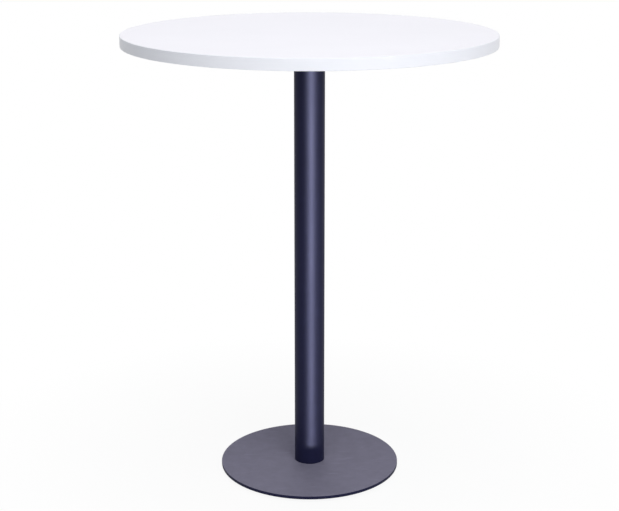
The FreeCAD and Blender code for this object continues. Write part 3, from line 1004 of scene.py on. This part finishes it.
class PUBTABLE_OT_tie_rod(bpy.types.Operator):
    """Make the tie rod with its threads, its nut and its washers"""

    bl_idname = "pub_table.tie_rod"
    bl_label = "Tie Rod"

    def execute(self, context):
        settings = context.scene.pub_table_fixing
        low, high = level("tie_rod")
        columns = 48
        lower = low + settings.rod_thread_length
        upper = high - settings.rod_thread_length
        chamfer = settings.rod_chamfer
        run_out = 0.001
        rod = stacked(
            columns,
            (0.0, low),
            (settings.rod_radius - chamfer, low),
            threaded(settings.rod_radius, low + chamfer, lower, settings.rod_pitch, columns),
            (settings.rod_shank_radius, lower + run_out),
            (settings.rod_shank_radius, (low + high) / 2),
            (settings.rod_shank_radius, upper - run_out),
            threaded(settings.rod_radius, upper, high - chamfer, settings.rod_pitch, columns),
            (settings.rod_radius - chamfer, high),
            (0.0, high),
        )
        make_zinc("threaded_tie_rod", [rod], "tie_rod")
        nut_low, nut_high = level("tie_rod_nut")
        bore = bore_radius("tie_rod_nut")
        nut_columns = 96
        nut = stacked(
            nut_columns,
            (bore, nut_high),
            (bore, nut_low),
            hexagon_rows(settings.nut_width, nut_low, nut_high, nut_columns),
            (bore, nut_high),
        )
        make_zinc("hexagon_nut", [nut], "tie_rod_nut")
        washer_low, washer_high = level("tie_rod_washer")
        outside = outer_radius("tie_rod_washer")
        hole = bore_radius("tie_rod_washer")
        outline = rounded(
            [
                (hole, washer_low),
                (outside, washer_low, settings.washer_edge),
                (outside, washer_high, 2 * settings.washer_edge),
                (hole, washer_high, settings.washer_edge),
            ],
            closed=True,
        )
        make_zinc("wide_washer", [turned(outline, columns=120)], "tie_rod_washer")
        refinish("spring_washer", zinc_finish())
        return {"FINISHED"}


# ---------------------------------------------------------------- stage
def white_for_the_camera(tree, plain, white):
    """Shader that is white to camera, glossy and transmission rays, and plain to the rest."""
    path = tree.nodes.new("ShaderNodeLightPath")
    seen = combine(tree, "MAXIMUM", path.outputs["Is Camera Ray"], path.outputs["Is Glossy Ray"])
    seen = combine(tree, "MAXIMUM", seen, path.outputs["Is Transmission Ray"])
    mix = tree.nodes.new("ShaderNodeMixShader")
    tree.links.new(seen, mix.inputs["Fac"])
    tree.links.new(plain, mix.inputs[1])
    tree.links.new(white, mix.inputs[2])
    return mix.outputs["Shader"]


def studio_world(settings):
    """Background that is white to look at and lights the object gently from all round."""
    world = bpy.data.worlds.new("studio")
    world.use_nodes = True
    tree = world.node_tree
    plain = tree.nodes["Background"]
    plain.inputs["Color"].default_value = (0.86, 0.92, 1.0, 1.0)
    plain.inputs["Strength"].default_value = settings.fill_level
    white = tree.nodes.new("ShaderNodeBackground")
    white.inputs["Color"].default_value = (1.0, 1.0, 1.0, 1.0)
    white.inputs["Strength"].default_value = 1.0
    seen = white_for_the_camera(tree, plain.outputs["Background"], white.outputs["Background"])
    tree.links.new(seen, tree.nodes["World Output"].inputs["Surface"])
    return world


def floor_finish():
    """Pale floor: white to look at, with the object's soft shadow on it, and clear from below.

    Close to the table a small part of what is seen is the floor's own lit colour, which holds the shadow,
    and the rest is plain white. That part fades out with the distance.
    """
    fade_start, fade_end, white_share = 0.3, 1.0, 0.92
    floor = bpy.data.materials.new("studio_floor")
    floor.use_nodes = True
    tree = floor.node_tree
    tree.nodes.remove(tree.nodes["Principled BSDF"])
    lit = tree.nodes.new("ShaderNodeBsdfDiffuse")
    lit.inputs["Color"].default_value = (0.75, 0.75, 0.75, 1.0)
    white = tree.nodes.new("ShaderNodeEmission")
    white.inputs["Color"].default_value = (1.0, 1.0, 1.0, 1.0)
    white.inputs["Strength"].default_value = 1.0
    distance = tree.nodes.new("ShaderNodeVectorMath")
    distance.operation = "LENGTH"
    tree.links.new(coordinates(tree), distance.inputs[0])
    share = remap(tree, distance.outputs["Value"], fade_start, fade_end, white_share, 1.0)
    near = tree.nodes.new("ShaderNodeMixShader")
    tree.links.new(share, near.inputs["Fac"])
    tree.links.new(lit.outputs["BSDF"], near.inputs[1])
    tree.links.new(white.outputs["Emission"], near.inputs[2])
    seen = white_for_the_camera(tree, lit.outputs["BSDF"], near.outputs["Shader"])
    side = tree.nodes.new("ShaderNodeNewGeometry")
    clear = tree.nodes.new("ShaderNodeBsdfTransparent")
    both = tree.nodes.new("ShaderNodeMixShader")
    tree.links.new(side.outputs["Backfacing"], both.inputs["Fac"])
    tree.links.new(seen, both.inputs[1])
    tree.links.new(clear.outputs["BSDF"], both.inputs[2])
    tree.links.new(both.outputs["Shader"], tree.nodes["Material Output"].inputs["Surface"])
    return floor


def softbox(name, power, width, height, place, target):
    """Area lamp that faces a target."""
    lamp = bpy.data.lights.new(name, "AREA")
    lamp.shape = "RECTANGLE"
    lamp.energy = power
    lamp.size = width
    lamp.size_y = height
    holder = bpy.data.objects.new(name, lamp)
    holder.location = place
    holder.rotation_euler = (Vector(target) - Vector(place)).to_track_quat("-Z", "Y").to_euler()
    holder.visible_camera = False
    bpy.context.scene.collection.objects.link(holder)
    return holder


def light_only(lamp, piece):
    """Keep a lamp's light to one piece."""
    lit = bpy.data.collections.new(f"lit_by_{lamp.name}")
    lit.objects.link(piece)
    lamp.light_linking.receiver_collection = lit


def column_strip(name, power, x, y):
    """Tall narrow lamp close to the column, which shows in the column's gloss alone. Its beam is too tight
    to graze the tube's far side, where it would show as a white line."""
    middle = 0.555
    strip = softbox(name, power, width=0.050, height=0.99, place=(x, y, middle), target=(0.0, 0.0, middle))
    strip.data.spread = math.radians(40.0)
    strip.visible_diffuse = False
    light_only(strip, bpy.data.objects["column_post"])


class PUBTABLE_OT_stage(bpy.types.Operator):
    """Make the floor, the background, the lamps and the camera"""

    bl_idname = "pub_table.stage"
    bl_label = "Stage"

    def execute(self, context):
        scene = context.scene
        settings = scene.pub_table_stage
        scene.view_settings.view_transform = "Standard"
        scene.world = studio_world(settings)

        reach = settings.floor_radius
        mesh = bpy.data.meshes.new("floor")
        corners = [(-reach, -reach, 0), (reach, -reach, 0), (reach, reach, 0), (-reach, reach, 0)]
        mesh.from_pydata(corners, [], [(0, 1, 2, 3)])
        mesh.materials.append(floor_finish())
        floor = bpy.data.objects.new("floor", mesh)
        scene.collection.objects.link(floor)

        upper_column = (0.0, 0.0, 0.7)
        middle = (0.0, 0.0, 0.6)
        key = softbox(
            "key", settings.key_power, width=3.4, height=2.4, place=(2.2, -3.6, 1.45), target=upper_column
        )
        key.visible_glossy = False
        softbox(
            "overhead", settings.top_power, width=6.5, height=6.5, place=(0.4, -4.3, 7.2), target=middle
        )
        softbox("back", settings.back_power, width=3.0, height=3.0, place=(-0.3, 4.3, 6.0), target=middle)
        strip_x, strip_y = 0.0153, -0.0632
        column_strip("gloss_strip", settings.gloss_power, strip_x, strip_y)
        column_strip("rear_strip", settings.rear_gloss_power, -strip_x, -strip_y)

        camera = bpy.data.cameras.new("camera")
        camera.lens = settings.lens
        camera.sensor_width = settings.sensor
        camera.shift_y = -settings.shift_down
        holder = bpy.data.objects.new("camera", camera)
        holder.location = (0.0, -settings.camera_distance, settings.camera_height)
        holder.rotation_euler = (math.pi / 2 - settings.camera_pitch, 0.0, 0.0)
        scene.collection.objects.link(holder)
        scene.camera = holder
        return {"FINISHED"}


# ---------------------------------------------------------------- add-on
OPERATORS = (
    PUBTABLE_OT_top_face,
    PUBTABLE_OT_edge_band,
    PUBTABLE_OT_board,
    PUBTABLE_OT_column,
    PUBTABLE_OT_base,
    PUBTABLE_OT_levellers,
    PUBTABLE_OT_spider,
    PUBTABLE_OT_screws,
    PUBTABLE_OT_tie_rod,
    PUBTABLE_OT_stage,
)


class PUBTABLE_PT_pieces(bpy.types.Panel):
    """Buttons for the pieces of the table and the stage"""

    bl_label = "Pub Table"
    bl_idname = "PUBTABLE_PT_pieces"
    bl_space_type = "VIEW_3D"
    bl_region_type = "UI"
    bl_category = "Pub Table"

    def draw(self, context):
        for operator in OPERATORS:
            self.layout.operator(operator.bl_idname)


SETTINGS = {
    "pub_table_top": TopSettings,
    "pub_table_coat": CoatSettings,
    "pub_table_column": ColumnSettings,
    "pub_table_base": BaseSettings,
    "pub_table_leveller": LevellerSettings,
    "pub_table_spider": SpiderSettings,
    "pub_table_fixing": FixingSettings,
    "pub_table_stage": StageSettings,
}


def register():
    """Register the settings, the operators and the panel."""
    for name, group in SETTINGS.items():
        bpy.utils.register_class(group)
        setattr(bpy.types.Scene, name, PointerProperty(type=group))
    for operator in OPERATORS:
        bpy.utils.register_class(operator)
    bpy.utils.register_class(PUBTABLE_PT_pieces)


def unregister():
    """Take back what register did."""
    bpy.utils.unregister_class(PUBTABLE_PT_pieces)
    for operator in reversed(OPERATORS):
        bpy.utils.unregister_class(operator)
    for name, group in SETTINGS.items():
        delattr(bpy.types.Scene, name)
        bpy.utils.unregister_class(group)


def main():
    """Make every piece and the stage."""
    register()
    bpy.ops.pub_table.top_face()
    bpy.ops.pub_table.edge_band()
    bpy.ops.pub_table.board()
    bpy.ops.pub_table.column()
    bpy.ops.pub_table.base()
    bpy.ops.pub_table.levellers()
    bpy.ops.pub_table.spider()
    bpy.ops.pub_table.screws()
    bpy.ops.pub_table.tie_rod()
    bpy.ops.pub_table.stage()


if __name__ == "__main__":
    main()
